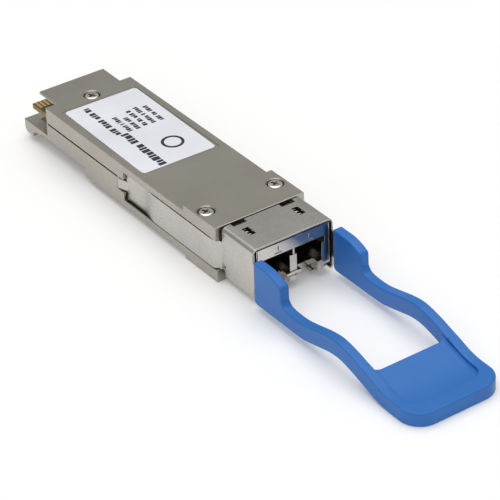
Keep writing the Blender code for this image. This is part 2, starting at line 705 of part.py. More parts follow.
def card_components():
    on_card = CARD_TOP + 0.03
    chips = {
        "laser_driver": (PORT_PITCH / 2, 34.6, 4.4, 0.85),
        "receiver_amplifier": (-PORT_PITCH / 2, 34.6, 4.4, 0.85),
        "microcontroller": (0.0, 43.5, 5.0, 0.90),
    }
    for name, (x, y, size, height) in chips.items():
        half = size / 2
        chip = block(name, (x - half, x + half), (y - half, y + half), (on_card, on_card + height))
        finish_part(chip, "epoxy")
    x, y, size, height = chips["laser_driver"]
    half = size / 2
    pad_limits = (on_card + height + 0.02, TOP - WALL - 0.03)
    pad = block("driver_thermal_pad", (x - half, x + half), (y - half, y + half), pad_limits)
    finish_part(pad, "gap_pad")
    floor = BELLY + WALL
    for place, side in (("transmitter", 1), ("receiver", -1)):
        centre = side * PORT_PITCH / 2
        across = (centre - 2.8, centre + 2.8)
        pad = block(f"{place}_thermal_pad", across, (9.0, 22.5), (floor + 0.03, 2.59))
        finish_part(pad, "gap_pad")


def seam_gaskets():
    for place, (low, high) in (("left", (-7.71, -7.44)), ("right", (7.44, 7.71))):
        strip = block(f"seam_gasket_{place}", (low, high), (8.1, 29.5), (6.08, SEAM + 0.03))
        finish_part(strip, "gasket")


def build():
    bottom_shell()
    top_shell()
    port_block()
    latch_slider()
    pull_tab()
    return_springs()
    screws()
    label()
    optics("transmitter", 1)
    optics("receiver", -1)
    barrel_clamp()
    paddle_card()
    card_components()
    seam_gaskets()


build()
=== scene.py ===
"""Looks of the optical transceiver module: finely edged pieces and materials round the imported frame.

Shapes are drawn in millimetres in the housing's own frame, whose Y starts at the cover's front face.
+X is right, +Y is the card-edge end and +Z is the labelled side. Each finished mesh is then in metres
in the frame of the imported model.
"""
import math

import bmesh
import bpy
from mathutils import Matrix, Vector


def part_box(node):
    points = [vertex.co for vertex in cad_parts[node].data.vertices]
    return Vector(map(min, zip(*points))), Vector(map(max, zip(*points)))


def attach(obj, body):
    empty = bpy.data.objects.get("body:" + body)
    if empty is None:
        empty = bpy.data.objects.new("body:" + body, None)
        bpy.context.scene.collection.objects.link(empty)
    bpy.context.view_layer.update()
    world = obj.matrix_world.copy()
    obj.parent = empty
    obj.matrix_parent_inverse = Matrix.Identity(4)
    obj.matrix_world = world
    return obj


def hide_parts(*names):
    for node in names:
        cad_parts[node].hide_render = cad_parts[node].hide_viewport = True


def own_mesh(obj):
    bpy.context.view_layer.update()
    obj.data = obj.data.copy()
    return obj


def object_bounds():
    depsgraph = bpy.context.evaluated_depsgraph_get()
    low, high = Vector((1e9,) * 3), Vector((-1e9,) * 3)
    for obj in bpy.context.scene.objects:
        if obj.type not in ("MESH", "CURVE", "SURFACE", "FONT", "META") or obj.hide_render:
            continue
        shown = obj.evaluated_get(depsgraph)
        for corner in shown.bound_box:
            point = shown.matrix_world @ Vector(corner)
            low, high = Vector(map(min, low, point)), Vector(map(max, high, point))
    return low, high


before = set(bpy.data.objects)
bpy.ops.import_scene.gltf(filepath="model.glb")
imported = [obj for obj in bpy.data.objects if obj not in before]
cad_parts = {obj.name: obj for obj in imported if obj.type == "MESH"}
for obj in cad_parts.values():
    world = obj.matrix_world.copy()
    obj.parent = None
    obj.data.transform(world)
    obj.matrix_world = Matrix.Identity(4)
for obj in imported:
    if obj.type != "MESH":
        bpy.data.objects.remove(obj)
cad_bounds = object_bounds()

MM = 0.001
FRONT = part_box("top_shell")[0].y
# Ends of cutters that go past everything: along the module, and above it
REACH = 80.0
PAST_TOP = 12


def limits(node, axis):
    """A node's lowest and highest place along an axis, in the housing's frame."""
    low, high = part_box(node)
    shift = FRONT if axis == 1 else 0.0
    return (low[axis] - shift) / MM, (high[axis] - shift) / MM


# Sizes that the frame gives
HALF_WIDTH = limits("top_shell", 0)[1]
TONGUE_REAR = limits("top_shell", 1)[1]
RAISED_TOP = limits("top_shell", 2)[1]
COVER_LOW = limits("top_shell", 2)[0]
SHELF_REAR = limits("bottom_shell", 1)[1]
SEAM = limits("bottom_shell", 2)[1]
NOSE_FRONT, NOSE_REAR = limits("port_block", 1)
BLOCK_HALF_WIDTH = limits("port_block", 0)[1]
ARM_OUTER = limits("latch_slider", 0)[1]
PRONG_FRONT = limits("latch_slider", 1)[0]
FLANGE_BOTTOM, NOSE_TOP = limits("latch_slider", 2)
TAB_FRONT, TAB_REAR = limits("pull_tab", 1)
TAB_HALF_WIDTH = limits("pull_tab", 0)[1]
EAR_TOP = limits("pull_tab", 2)[1]
CARD_HALF_WIDTH = limits("paddle_card", 0)[1]
CARD_FRONT, CARD_REAR = limits("paddle_card", 1)
CARD_BOTTOM, CARD_TOP = limits("paddle_card", 2)
LABEL_TOP = limits("label", 2)[1]
SPRING_FRONT, SPRING_REAR = limits("return_spring_left", 1)
SPRING_HEIGHT = sum(limits("return_spring_left", 2)) / 2
SPRING_PLACE = sum(limits("return_spring_right", 0)) / 2

# Sizes inside those outlines
TOP = RAISED_TOP - 1.1
WALL = 1.0
FIT = 0.15
HOUSING_REAR = 53.85
TONGUE_HALF_WIDTH = 6.92
TONGUE_THICKNESS = 0.55
NOSE_SEAT_REAR = 3.7
CAVITY_START, CAVITY_END = 3.6, 52.8
RAISED_LENGTH = 9.73
FOOT_LENGTH = 9.62
BELLY = 1.1
STERN = 3.0
STERN_START = 41.2
SHELF_TOP = 3.8
CAVITY_HALF_WIDTH = 7.25
REAR_CAVITY_START = 30.5
REAR_CAVITY_HALF_WIDTH = 8.0
SHEET = 0.35
ARM_BOTTOM, ARM_TOP = 2.45, 8.0
TIP_OUTER = 8.55
SIDE_OUTER = 8.2
SIDE_BOTTOM = 2.65
RUN_CLEARANCE = 0.2
RECESS_REAR = 28.4
TAB_INNER = 7.2
FLANGE_FRONT = -8.3
FLANGE_EDGE = 4.3
LATCH_CATCH = -6.8
PORT_PITCH = 6.25
CAST_EDGE = 0.13
SCREWS = {
    name: (sum(limits(name, 0)) / 2, sum(limits(name, 1)) / 2, limits(name, 2)[1])
    for name in ("screw_front_left", "screw_front_right", "screw_rear")
}

# Drawing planes, and the step from the housing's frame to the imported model's
YZ = Matrix(((0, 0, 1), (1, 0, 0), (0, 1, 0))).to_4x4()
XZ = Matrix(((1, 0, 0), (0, 0, -1), (0, 1, 0))).to_4x4()
XY = Matrix.Identity(4)
PLACE = Matrix.Translation((0.0, FRONT, 0.0))


# ---------------------------------------------------------------- modelling tools
def across(half_width):
    """Limits that lie evenly about the middle plane."""
    return (-half_width, half_width)


def on_side(side, inner, outer):
    """Limits between two distances from the middle plane, on the left (-1) or the right (1)."""
    return tuple(sorted((side * inner, side * outer)))


def round_screws(half_width):
    """A box about each screw, for edges that are to stay as they are."""
    return [
        ((x - half_width, x + half_width), (y - half_width, y + half_width), (0.5, PAST_TOP))
        for x, y, _ in SCREWS.values()
    ]


def add_object(name, mesh, matrix=XY):
    obj = bpy.data.objects.new(name, mesh)
    bpy.context.scene.collection.objects.link(obj)
    obj.matrix_world = matrix
    return obj


def evaluated_mesh(obj, name):
    """The object's mesh with its modifiers applied, in the object's own coordinates."""
    bpy.context.view_layer.update()
    graph = bpy.context.evaluated_depsgraph_get()
    mesh = bpy.data.meshes.new_from_object(obj.evaluated_get(graph))
    mesh.name = name
    return mesh


def welded(mesh):
    """The mesh with its doubled points joined and its faces turned outwards."""
    shape = bmesh.new()
    shape.from_mesh(mesh)
    bmesh.ops.remove_doubles(shape, verts=shape.verts, dist=1e-7)
    bmesh.ops.recalc_face_normals(shape, faces=shape.faces)
    shape.to_mesh(mesh)
    shape.free()
    return mesh


def boolean(target, tool, operation):
    """Cut, join or trim the target now, and remove the tool."""
    modifier = target.modifiers.new("boolean", "BOOLEAN")
    modifier.operation = operation
    modifier.solver = "EXACT"
    modifier.object = tool
    mesh = evaluated_mesh(target, target.name)
    target.modifiers.clear()
    old = target.data
    target.data = mesh
    bpy.data.meshes.remove(old)
    bpy.data.objects.remove(tool, do_unlink=True)
    return target


def cut(target, *tools):
    for tool in tools:
        boolean(target, tool, "DIFFERENCE")
    return target


def fuse(target, *tools):
    for tool in tools:
        boolean(target, tool, "UNION")
    return target


def round_edges(obj, width, segments=3, angle=40.0, skip=(), only=()):
    """Round the edges sharper than the angle; skip and only are boxes of limits in millimetres."""
    def inside(box, point):
        return all(low <= point[axis] / MM <= high for axis, (low, high) in enumerate(box))

    obj.data.transform(obj.matrix_world)
    obj.matrix_world = XY
    shape = bmesh.new()
    shape.from_mesh(obj.data)
    bmesh.ops.remove_doubles(shape, verts=shape.verts, dist=2e-7)
    bmesh.ops.dissolve_limit(shape, angle_limit=0.002, verts=shape.verts, edges=shape.edges)
    chosen = []
    for edge in shape.edges:
        middle = (edge.verts[0].co + edge.verts[1].co) / 2
        if len(edge.link_faces) != 2 or edge.calc_face_angle() < math.radians(angle):
            continue
        if any(inside(box, middle) for box in skip):
            continue
        if only and not any(inside(box, middle) for box in only):
            continue
        chosen.append(edge)
    bmesh.ops.bevel(
        shape, geom=chosen, offset=width * MM, segments=segments, profile=0.5, affect="EDGES",
        clamp_overlap=False, miter_outer="ARC", loop_slide=True,
    )
    shape.to_mesh(obj.data)
    shape.free()
    return obj


def block(name, x, y, z):
    """A box between the limits given for each axis."""
    low = Vector((x[0], y[0], z[0])) * MM
    high = Vector((x[1], y[1], z[1])) * MM
    mesh = bpy.data.meshes.new(name)
    shape = bmesh.new()
    bmesh.ops.create_cube(shape, size=1.0, matrix=Matrix.Diagonal((*(high - low), 1.0)))
    shape.to_mesh(mesh)
    shape.free()
    return add_object(name, mesh, Matrix.Translation((low + high) / 2))


def side_pair(name, x, y, z):
    """The same box on both sides."""
    left = block(f"{name}_left", (-x[1], -x[0]), y, z)
    return left, block(f"{name}_right", x, y, z)


def cylinder(name, radius, centre, axis, length):
    """A cylinder along Y or Z about its centre."""
    mesh = bpy.data.meshes.new(name)
    shape = bmesh.new()
    bmesh.ops.create_cone(
        shape, cap_ends=True, segments=48, radius1=radius * MM, radius2=radius * MM, depth=length * MM
    )
    shape.to_mesh(mesh)
    shape.free()
    turn = XZ if axis == "Y" else XY
    return add_object(name, mesh, Matrix.Translation(Vector(centre) * MM) @ turn)


def extrusion(name, outline, plane, low, high):
    """A closed flat outline in the YZ, XZ or XY plane, drawn out between two depths across it."""
    curve = bpy.data.curves.new(name, "CURVE")
    curve.dimensions = "2D"
    curve.fill_mode = "BOTH"
    curve.extrude = (high - low) / 2 * MM
    spline = curve.splines.new("POLY")
    spline.points.add(len(outline) - 1)
    for point, (u, v) in zip(spline.points, outline):
        point.co = (u * MM, v * MM, 0.0, 1.0)
    spline.use_cyclic_u = True
    flat = add_object(f"{name}_outline", curve)
    mesh = welded(evaluated_mesh(flat, name))
    bpy.data.objects.remove(flat, do_unlink=True)
    shape = bmesh.new()
    shape.from_mesh(mesh)
    bmesh.ops.dissolve_limit(shape, angle_limit=0.001, verts=shape.verts, edges=shape.edges)
    shape.to_mesh(mesh)
    shape.free()
    depth = (low + high) / 2 * (-1 if plane is XZ else 1)
    return add_object(name, mesh, plane @ Matrix.Translation((0.0, 0.0, depth * MM)))


def turned(name, profile, base, steps=64):
    """A turned piece about Z: (radius, height) points from its top down the outer side."""
    mesh = bpy.data.meshes.new(name)
    points = [(radius * MM, 0.0, height * MM) for radius, height in profile]
    mesh.from_pydata(points, [(i, i + 1) for i in range(len(points) - 1)], [])
    obj = add_object(name, mesh, Matrix.Translation(Vector(base) * MM))
    screw = obj.modifiers.new("turn", "SCREW")
    screw.axis = "Z"
    screw.steps = steps
    screw.render_steps = steps
    screw.use_merge_vertices = True
    screw.merge_threshold = 1e-6
    obj.data = welded(evaluated_mesh(obj, name))
    obj.modifiers.clear()
    return obj


def arc(centre_u, centre_v, radius, start_deg, end_deg, steps=8):
    angles = [math.radians(start_deg + (end_deg - start_deg) * i / steps) for i in range(steps + 1)]
    return [(centre_u + radius * math.cos(a), centre_v + radius * math.sin(a)) for a in angles]


def rounded_rectangle(u, v, radius, steps=8):
    (u0, u1), (v0, v1) = u, v
    return (
        arc(u1 - radius, v1 - radius, radius, 0, 90, steps)
        + arc(u0 + radius, v1 - radius, radius, 90, 180, steps)
        + arc(u0 + radius, v0 + radius, radius, 180, 270, steps)
        + arc(u1 - radius, v0 + radius, radius, 270, 360, steps)
    )


def smooth_line(points, steps=8):
    """A Catmull-Rom line through the points, for a profile that bends smoothly."""
    padded = [points[0], *points, points[-1]]
    line = []
    for p0, p1, p2, p3 in zip(padded, padded[1:], padded[2:], padded[3:]):
        for i in range(steps):
            t = i / steps
            line.append(tuple(
                0.5 * (
                    2 * b + (c - a) * t
                    + (2 * a - 5 * b + 4 * c - d) * t**2
                    + (3 * b - a - 3 * c + d) * t**3
                )
                for a, b, c, d in zip(p0, p1, p2, p3)
            ))
    line.append(points[-1])
    return line


def ribbon(points, thickness):
    """The outline of a strip of even thickness whose outer face follows the points."""
    inner = []
    for i, point in enumerate(points):
        before = Vector(points[max(i - 1, 0)])
        after = Vector(points[min(i + 1, len(points) - 1)])
        along = (after - before).normalized()
        inner.append((point[0] + along.y * thickness, point[1] - along.x * thickness))
    return points + inner[::-1]


def mirrored(outline):
    """The outline on the other side, drawn round the same way."""
    return [(-u, v) for u, v in outline][::-1]


def finish_piece(obj, name, material, body, node=None, smooth_angle=32.0):
    """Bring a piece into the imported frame, give it its finish and hand it to its body."""
    obj.name = name
    obj.data.name = name
    obj.data.transform(PLACE @ obj.matrix_world)
    obj.matrix_world = XY
    obj.data.materials.clear()
    obj.data.materials.append(material)
    obj.data.shade_smooth()
    obj.data.set_sharp_from_angle(angle=math.radians(smooth_angle))
    normals = obj.modifiers.new("even_shading", "WEIGHTED_NORMAL")
    normals.keep_sharp = True
    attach(obj, body)
    if node:
        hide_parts(node)
    return obj


# ---------------------------------------------------------------- materials
class Nodes:
    """A material under construction, with short calls for the nodes that the finishes share."""

    def __init__(self, name, metallic):
        self.material = bpy.data.materials.new(name)
        self.material.use_nodes = True
        self.tree = self.material.node_tree
        self.shader = self.tree.nodes["Principled BSDF"]
        self.shader.inputs["Metallic"].default_value = metallic
        self.coordinates = self.tree.nodes.new("ShaderNodeTexCoord").outputs["Object"]

    def link(self, output, target):
        self.tree.links.new(output, target)

    def noise(self, scale, detail=4.0, roughness=0.55):
        """Noise over the piece, as bumps a millimetre."""
        node = self.tree.nodes.new("ShaderNodeTexNoise")
        node.inputs["Scale"].default_value = scale / MM
        node.inputs["Detail"].default_value = detail
        node.inputs["Roughness"].default_value = roughness
        self.link(self.coordinates, node.inputs["Vector"])
        return node.outputs["Fac"]

    def spread(self, value, low, high, start=0.3, end=0.7):
        """The value's range from start to end, spread out from low to high."""
        node = self.tree.nodes.new("ShaderNodeMapRange")
        node.inputs["From Min"].default_value = start
        node.inputs["From Max"].default_value = end
        node.inputs["To Min"].default_value = low
        node.inputs["To Max"].default_value = high
        self.link(value, node.inputs["Value"])
        return node.outputs["Result"]

    def mix(self, factor, first, second):
        """A colour between two colours; each is a tuple or another node's output."""
        node = self.tree.nodes.new("ShaderNodeMix")
        node.data_type = "RGBA"
        self.link(factor, node.inputs["Factor"])
        for socket, value in ((node.inputs[6], first), (node.inputs[7], second)):
            if isinstance(value, tuple):
                socket.default_value = (*value, 1.0)
            else:
                self.link(value, socket)
        return node.outputs[2]

    def bump(self, height, depth):
        """Relief of a given depth in millimetres."""
        node = self.tree.nodes.new("ShaderNodeBump")
        node.inputs["Strength"].default_value = 1.0
        node.inputs["Distance"].default_value = depth * MM
        self.link(height, node.inputs["Height"])
        return node.outputs["Normal"]

    def done(self, colour, roughness, normal):
        self.link(colour, self.shader.inputs["Base Color"])
        self.link(roughness, self.shader.inputs["Roughness"])
        self.link(normal, self.shader.inputs["Normal"])
        return self.material


def shade(colour, factor):
    """The colour made darker or lighter by the factor."""
    return tuple(min(1.0, channel * factor) for channel in colour)


def plated_metal(name, colour, roughness, grain=3.0, relief=0.004, blotch=0.12, fleck=0.35):
    """Plated metal: fine grain in the surface, faint broad blotches and small changes in gloss."""
    nodes = Nodes(name, 1.0)
    fine = nodes.noise(grain, 6.0, 0.6)
    broad = nodes.noise(blotch, 3.0)
    tone = nodes.mix(nodes.spread(broad, 0.0, 1.0), shade(colour, 0.93), shade(colour, 1.06))
    tone = nodes.mix(nodes.spread(fine, 0.0, fleck), tone, shade(colour, 0.86))
    gloss = nodes.spread(fine, roughness * 0.85, roughness * 1.2)
    return nodes.done(tone, gloss, nodes.bump(fine, relief))


def moulded_plastic(name, colour, roughness, relief=0.006):
    """Moulded plastic: a fine spark-eroded skin with a slightly uneven gloss."""
    nodes = Nodes(name, 0.0)
    skin = nodes.noise(4.5, 4.0, 0.6)
    broad = nodes.noise(0.09, 2.0)
    tone = nodes.mix(nodes.spread(broad, 0.0, 1.0), shade(colour, 0.93), shade(colour, 1.07))
    tone = nodes.mix(nodes.spread(skin, 0.0, 0.25), tone, shade(colour, 1.25))
    gloss = nodes.spread(skin, roughness * 0.88, roughness * 1.15)
    nodes.shader.inputs["Specular IOR Level"].default_value = 0.38
    return nodes.done(tone, gloss, nodes.bump(skin, relief))


def layered_board(name, colour, line_colour):
    """Circuit card: woven laminate in thin layers, which show as lines along its cut edges."""
    nodes = Nodes(name, 0.0)
    wave = nodes.tree.nodes.new("ShaderNodeTexWave")
    wave.bands_direction = "Z"
    wave.inputs["Scale"].default_value = 0.95 / MM
    wave.inputs["Distortion"].default_value = 0.3
    wave.inputs["Phase Offset"].default_value = math.pi
    nodes.link(nodes.coordinates, wave.inputs["Vector"])
    weave = nodes.noise(5.0, 3.0)
    tone = nodes.mix(nodes.spread(wave.outputs["Fac"], 0.0, 0.95), line_colour, colour)
    tone = nodes.mix(nodes.spread(weave, 0.0, 0.3), tone, shade(colour, 0.7))
    return nodes.done(tone, nodes.spread(weave, 0.4, 0.6), nodes.bump(weave, 0.006))


ZINC = plated_metal(
    "satin_nickel_zinc", (0.435, 0.415, 0.365), 0.34, grain=2.6, relief=0.007, blotch=0.10
)
NOSE_ZINC = plated_metal(
    "bright_nickel_zinc", (0.62, 0.585, 0.54), 0.16, grain=2.2, relief=0.004, blotch=0.2
)
# A near-black material that paints shade into the nose's spring channels and flap pockets
PAINTED_SHADE_BLACK = moulded_plastic("painted_shade_black", (0.012, 0.012, 0.013), 0.7, relief=0.003)
SHEET_STEEL = plated_metal(
    "nickel_sheet_steel", (0.52, 0.505, 0.47), 0.29, grain=3.2, relief=0.0002, fleck=0.0
)
BRIGHT = plated_metal(
    "bright_nickel_screw", (0.72, 0.70, 0.64), 0.16, grain=4.0, relief=0.003, blotch=0.5
)
SPRING_STEEL = plated_metal(
    "spring_steel", (0.60, 0.59, 0.56), 0.22, grain=6.0, relief=0.002, blotch=0.8
)
GOLD = plated_metal("gold_plating", (0.86, 0.60, 0.24), 0.24, grain=5.0, relief=0.003, blotch=0.6)
STEEL = plated_metal(
    "stainless_barrel", (0.60, 0.60, 0.60), 0.25, grain=5.0, relief=0.002, blotch=0.6
)
BLUE = moulded_plastic("blue_tab_plastic", (0.018, 0.142, 0.46), 0.38)
BLACK_PLASTIC = moulded_plastic("black_clamp_plastic", (0.05, 0.05, 0.055), 0.5)
EPOXY = moulded_plastic("black_epoxy", (0.025, 0.025, 0.028), 0.5, relief=0.008)
CERAMIC = moulded_plastic("white_zirconia", (0.88, 0.87, 0.83), 0.3, relief=0.001)
AMBER = moulded_plastic("amber_polyimide", (0.62, 0.27, 0.04), 0.35, relief=0.002)
GAP_PAD = moulded_plastic("grey_gap_pad", (0.33, 0.37, 0.42), 0.8, relief=0.02)
GASKET = moulded_plastic("silver_elastomer", (0.40, 0.39, 0.37), 0.65, relief=0.02)
FILM = moulded_plastic("label_film", (0.71, 0.725, 0.77), 0.38, relief=0.001)
INK = moulded_plastic("black_print", (0.018, 0.018, 0.020), 0.55, relief=0.001)
BOARD = layered_board("card_laminate", (0.05, 0.03, 0.006), (0.46, 0.34, 0.08))


# ---------------------------------------------------------------- housing
def screw_column(screw_name, size, z):
    """A square column of metal for a screw to stand in."""
    x, y, _ = SCREWS[screw_name]
    half = size / 2
    return block(f"{screw_name}_column", (x - half, x + half), (y - half, y + half), z)


def screw_hole(screw_name, suffix, radius, z):
    """A cutter for a plain hole round a screw."""
    x, y, _ = SCREWS[screw_name]
    return cylinder(f"{screw_name}_{suffix}", radius, (x, y, (z[0] + z[1]) / 2), "Z", z[1] - z[0])


def arm_recesses(prefix, low, high):
    """Cutters for the slider's arms: an open corner, a shallow run and a deeper bay for the tips."""
    corner = BLOCK_HALF_WIDTH + FIT
    run = ARM_OUTER - SHEET - RUN_CLEARANCE
    bay = TIP_OUTER - SHEET - RUN_CLEARANCE
    outside = HALF_WIDTH + 1
    corner_rear, bay_start = 1.7, 17.6
    outline = [
        (outside, -1), (outside, RECESS_REAR), (bay, RECESS_REAR), (bay, bay_start), (run, bay_start),
        (run, corner_rear), (corner, corner_rear), (corner, -1),
    ]
    return (
        extrusion(f"{prefix}_arm_recess_right", outline, XY, low, high),
        extrusion(f"{prefix}_arm_recess_left", mirrored(outline), XY, low, high),
    )


def housing_base():
    """The lower shell: foot, belly, stern and a rear shelf with a heel under it."""
    heel_bottom, heel_radius = 1.15, 1.1
    profile = [
        (0, 0), (FOOT_LENGTH, 0), (FOOT_LENGTH, BELLY), (STERN_START - 0.1, BELLY),
        (STERN_START + 0.1, STERN),
        *smooth_line([(55.1, STERN), (55.9, 2.9), (57.5, 2.45), (58.85, 2.1)], 5),
        (59.1, 1.9), (59.15, heel_bottom),
        *arc(SHELF_REAR - heel_radius, heel_bottom + heel_radius, heel_radius, 270, 360, 8),
        (SHELF_REAR, SHELF_TOP), (HOUSING_REAR, SHELF_TOP), (HOUSING_REAR, SEAM), (0, SEAM),
    ]
    base = extrusion("housing_base", profile, YZ, -HALF_WIDTH, HALF_WIDTH)
    floor = BELLY + WALL
    ledge = CARD_BOTTOM - 0.1
    narrow, wide = across(CAVITY_HALF_WIDTH), across(REAR_CAVITY_HALF_WIDTH)
    card_room, nose_room = across(CARD_HALF_WIDTH + FIT), across(BLOCK_HALF_WIDTH + FIT)
    window = (HOUSING_REAR + 0.6, 60.0)
    cut(
        base,
        block("front_well", narrow, (CAVITY_START, REAR_CAVITY_START + 1), (floor, PAST_TOP)),
        block("rear_well", wide, (REAR_CAVITY_START, 40.0), (floor, PAST_TOP)),
        block("stern_well", wide, (39.0, CAVITY_END), (STERN + WALL, PAST_TOP)),
        block("card_rebate", card_room, (REAR_CAVITY_START, REACH), (ledge, PAST_TOP)),
        block("nose_seat", nose_room, (-1, NOSE_SEAT_REAR), (1.35, PAST_TOP)),
        block("shelf_window", across(TONGUE_HALF_WIDTH), window, (-1, SHELF_TOP + 1)),
    )
    for side in (-1, 1):
        ramp_outer = side * (HALF_WIDTH + 0.2)
        ramp = [(side * 8.0, RECESS_REAR - 0.1), (ramp_outer, 31.1), (ramp_outer, 28.0)]
        if side < 0:
            ramp.reverse()
        cut(base, extrusion(f"tip_ramp_{side}", ramp, XY, 3.95, SEAM + 1))
    groove_depth = (HALF_WIDTH - 0.6, HALF_WIDTH + 1)
    groove_length = (RECESS_REAR - 0.2, HOUSING_REAR - 0.4)
    cut(
        base,
        *arm_recesses("lower", ARM_BOTTOM - 0.12, SEAM + 1),
        *side_pair("tip_slot", (7.75, HALF_WIDTH - 0.3), (17.8, RECESS_REAR - 0.1), (1.9, 4.0)),
        *side_pair("seam_groove", groove_depth, groove_length, (SEAM - 0.18, 9)),
    )
    for name in SCREWS:
        rear = name == "screw_rear"
        bottom = STERN + 0.2 if rear else BELLY + 0.2
        top = ledge - 0.05 if rear else SEAM - 0.05
        fuse(base, screw_column(name, 2.3, (bottom, top)))
        cut(base, screw_hole(name, "thread", 0.86, (3.6 if rear else 2.2, PAST_TOP)))
    fine = [
        (on_side(side, 7.9, 9.3), (17.7, HOUSING_REAR + 0.1), (1.2, SEAM + 0.1)) for side in (-1, 1)
    ]
    round_edges(base, CAST_EDGE, skip=round_screws(1.3) + fine)
    round_edges(base, 0.04, 1, only=fine)
    finish_piece(base, "housing_base", ZINC, "module", "bottom_shell")


def housing_cover():
    """The cover: a raised front land, a long flat top and a thin tongue over the card."""
    plan = [
        (-HALF_WIDTH, 0), (HALF_WIDTH, 0), (HALF_WIDTH, HOUSING_REAR),
        (TONGUE_HALF_WIDTH, HOUSING_REAR), (TONGUE_HALF_WIDTH, TONGUE_REAR),
        (-TONGUE_HALF_WIDTH, TONGUE_REAR), (-TONGUE_HALF_WIDTH, HOUSING_REAR),
        (-HALF_WIDTH, HOUSING_REAR),
    ]
    tongue_bottom = TOP - TONGUE_THICKNESS
    side = [
        (-1, COVER_LOW), (HOUSING_REAR, COVER_LOW), (HOUSING_REAR, tongue_bottom),
        (REACH, tongue_bottom), (REACH, TOP), (RAISED_LENGTH, TOP),
        (RAISED_LENGTH - 0.25, RAISED_TOP), (-1, RAISED_TOP),
    ]
    cover = extrusion("housing_cover", plan, XY, COVER_LOW, RAISED_TOP)
    boolean(cover, extrusion("cover_side", side, YZ, -HALF_WIDTH - 1, HALF_WIDTH + 1), "INTERSECT")
    roof = TOP - WALL
    raised_roof = RAISED_TOP - WALL
    narrow, wide = across(CAVITY_HALF_WIDTH), across(REAR_CAVITY_HALF_WIDTH)
    card_room, nose_room = across(CARD_HALF_WIDTH + FIT), across(BLOCK_HALF_WIDTH + FIT)
    seam_depth, seam_height = (HALF_WIDTH - 0.45, HALF_WIDTH + 1), (ARM_TOP - 0.1, ARM_TOP + 0.24)
    cut(
        cover,
        block("roof_front", narrow, (CAVITY_START, 8.7), (-1, raised_roof)),
        block("roof_middle", narrow, (8.0, REAR_CAVITY_START + 1), (-1, roof)),
        block("roof_rear", wide, (REAR_CAVITY_START, CAVITY_END), (-1, roof)),
        block("card_slot", card_room, (REAR_CAVITY_START, REACH), (-1, CARD_TOP + 0.1)),
        block("nose_mouth", nose_room, (-1, NOSE_SEAT_REAR), (-1, raised_roof)),
        *arm_recesses("upper", 0, ARM_TOP + 0.12),
        *side_pair("run_seam", seam_depth, (1.7, 20.6), seam_height),
    )
    countersink, head_room, shank_room = 1.72, 1.5, 0.95
    mouth_profile = [
        (0, 1.0), (countersink, 1.0), (countersink, 0.02), (head_room, -0.2), (head_room, -0.93),
        (shank_room, -0.93), (shank_room, -6.0), (0, -6.0),
    ]
    for name, (x, y, _) in SCREWS.items():
        rear = name == "screw_rear"
        foot = CARD_TOP + 0.15 if rear else COVER_LOW + 0.05
        surface = TOP if rear else RAISED_TOP
        fuse(cover, screw_column(name, 2.4, (foot, surface - 0.5)))
        cut(cover, turned(f"{name}_mouth", mouth_profile, (x, y, surface)))
    recess_plan = rounded_rectangle((-7.85, 7.85), (23.0, 50.6), 0.5, 5)
    cut(cover, extrusion("label_recess", recess_plan, XY, TOP - 0.15, PAST_TOP))
    label_edges = ((-7.9, 7.9), (22.9, 50.7), (TOP - 0.2, TOP + 0.05))
    round_edges(cover, CAST_EDGE, skip=[label_edges] + round_screws(1.8))
    round_edges(cover, 0.03, 1, only=[label_edges])
    finish_piece(cover, "housing_cover", ZINC, "module", "top_shell")


